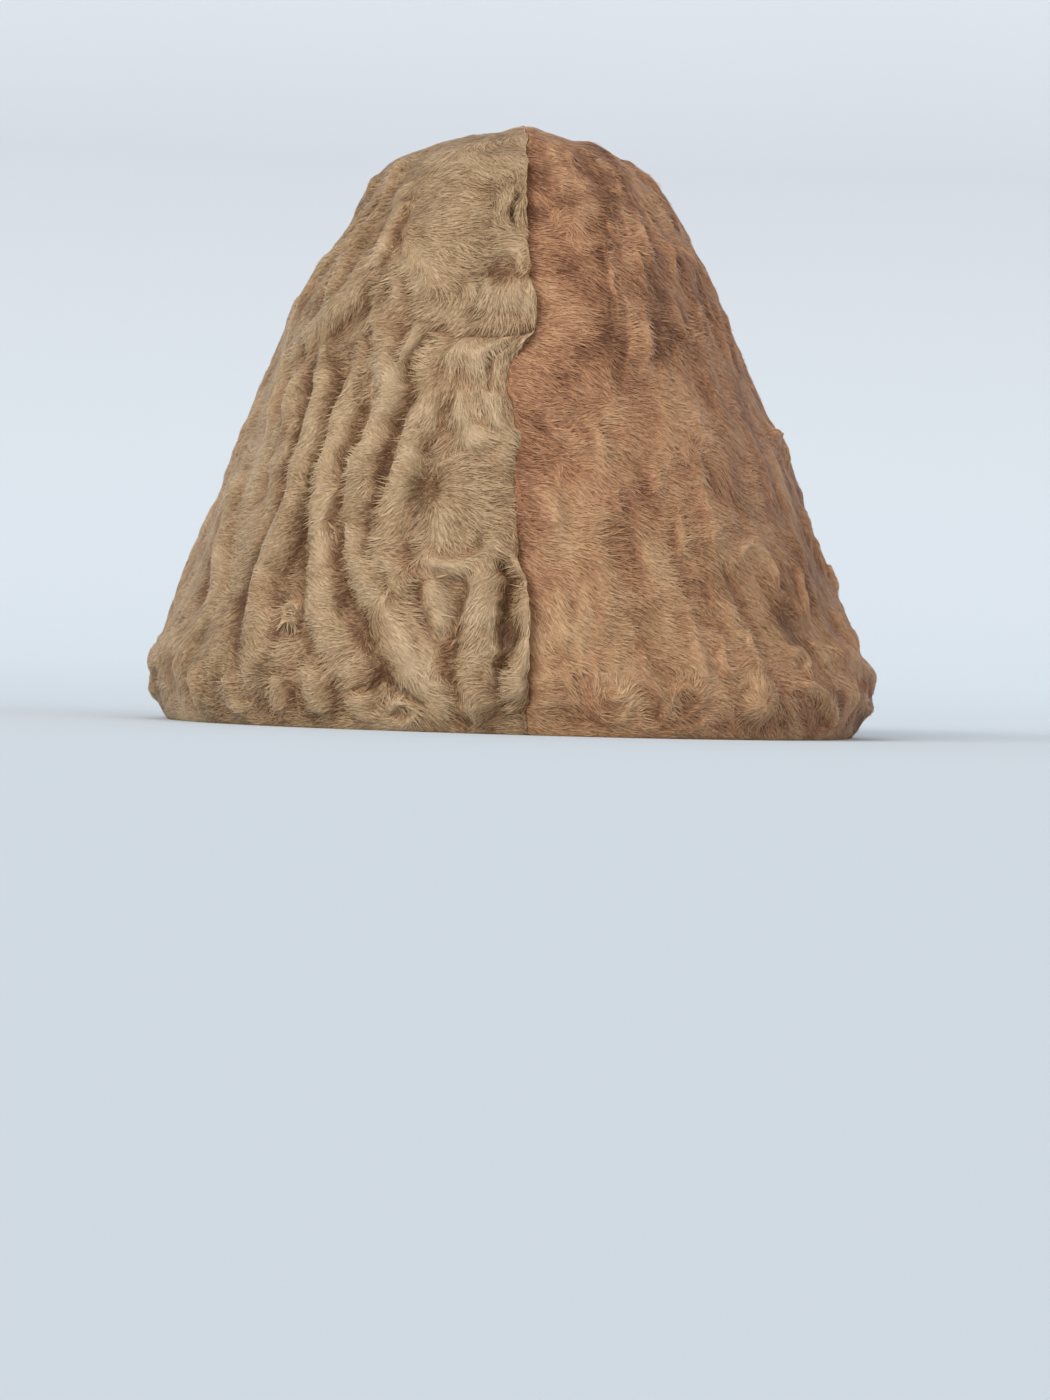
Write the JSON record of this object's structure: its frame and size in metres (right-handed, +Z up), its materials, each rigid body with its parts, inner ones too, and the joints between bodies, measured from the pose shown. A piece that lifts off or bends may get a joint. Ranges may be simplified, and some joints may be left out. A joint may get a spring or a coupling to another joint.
{
  "type": "karakul cap",
  "caption": "Peaked lambskin cap sewn from two curly pelts along a seam over the crown, with a turned-in hem and a dark cloth lining.",
  "frame": {"origin": "middle of the rim, on the surface that the cap rests on", "axes": "+Z up through the crown, +Y from the front seam to the back seam, +X to the viewer's right when the cap is seen from the front"},
  "size_m": [0.192, 0.2128, 0.1589],
  "materials": {
    "fur_beige": "short, lustrous beige-brown karakul fur in rolls and swirls",
    "fur_russet": "short karakul fur, redder and darker than the other pelt, with low waves",
    "lining_cloth": "dark brown plain-woven lining cloth, matt"
  },
  "bodies": {
    "root": {"pelt_left": "fur_beige", "pelt_right": "fur_russet", "lining": "lining_cloth"}
  },
  "joints": []
}
